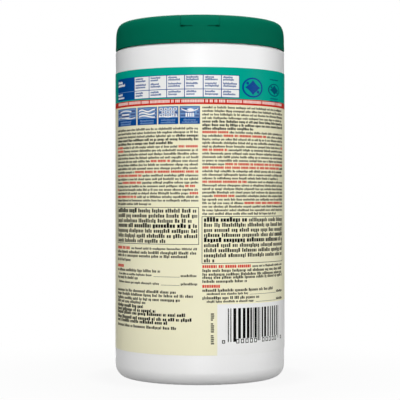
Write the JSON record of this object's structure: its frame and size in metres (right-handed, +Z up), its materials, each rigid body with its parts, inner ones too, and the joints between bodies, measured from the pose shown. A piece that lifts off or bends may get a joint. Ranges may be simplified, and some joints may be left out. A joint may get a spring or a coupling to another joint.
{
  "type": "disinfecting wipes canister",
  "caption": "Round upright plastic tub of wet wipes with a wrap-around label, a push-on dispensing closure, a hinged flip lid and a roll of wipes fed from its centre.",
  "frame": {"origin": "centre of the base, on the surface that the tub stands on", "axes": "+Z up along the tub's axis, +Y towards the thumb tab at the front, -Y towards the hinge at the back"},
  "size_m": [0.1046, 0.1046, 0.217],
  "materials": {
    "tub_plastic": "satin white blown polyethylene",
    "label_film": "glossy printed film, cream with a teal band",
    "cap_plastic": "satin dark green moulded polypropylene",
    "wipe_cloth": "damp white nonwoven cloth"
  },
  "bodies": {
    "tub": {"canister": "tub_plastic", "label": "label_film", "wipes_roll": "wipe_cloth", "lead_wipe": "wipe_cloth"},
    "closure": {"closure_base": "cap_plastic"},
    "lid": {"flip_lid": "cap_plastic"}
  },
  "joints": [
    {"name": "closure_lift", "type": "slide", "parent": "tub", "child": "closure", "axis": [0, 0, 1], "range_m": [0, 0.045]},
    {"name": "lid_hinge", "type": "hinge", "parent": "closure", "child": "lid", "pos_m": [0, -0.05185, 0.2097], "axis": [1, 0, 0], "range_deg": [0, 150]}
  ]
}
